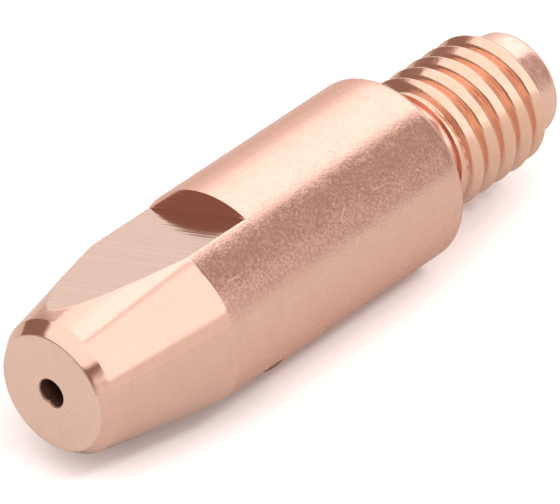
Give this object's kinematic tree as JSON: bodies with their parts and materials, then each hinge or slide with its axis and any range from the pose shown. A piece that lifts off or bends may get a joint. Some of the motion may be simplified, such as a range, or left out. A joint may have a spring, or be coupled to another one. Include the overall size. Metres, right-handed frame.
{
  "type": "welding contact tip",
  "caption": "Turned copper contact tip for welding: threaded stud with a plain pilot, round body, spanner flats, tapered nose and a through hole that guides the wire.",
  "frame": {"origin": "on the axis, in the end face of the threaded end, on which the part stands", "axes": "+Z along the axis from the threaded end to the nose; the spanner flats face +Y and -Y"},
  "size_m": [0.008, 0.008, 0.028],
  "materials": {
    "copper": "satin turned body, bright turned nose and rolled thread"
  },
  "bodies": {
    "root": {"contact_tip": "copper"}
  },
  "joints": []
}
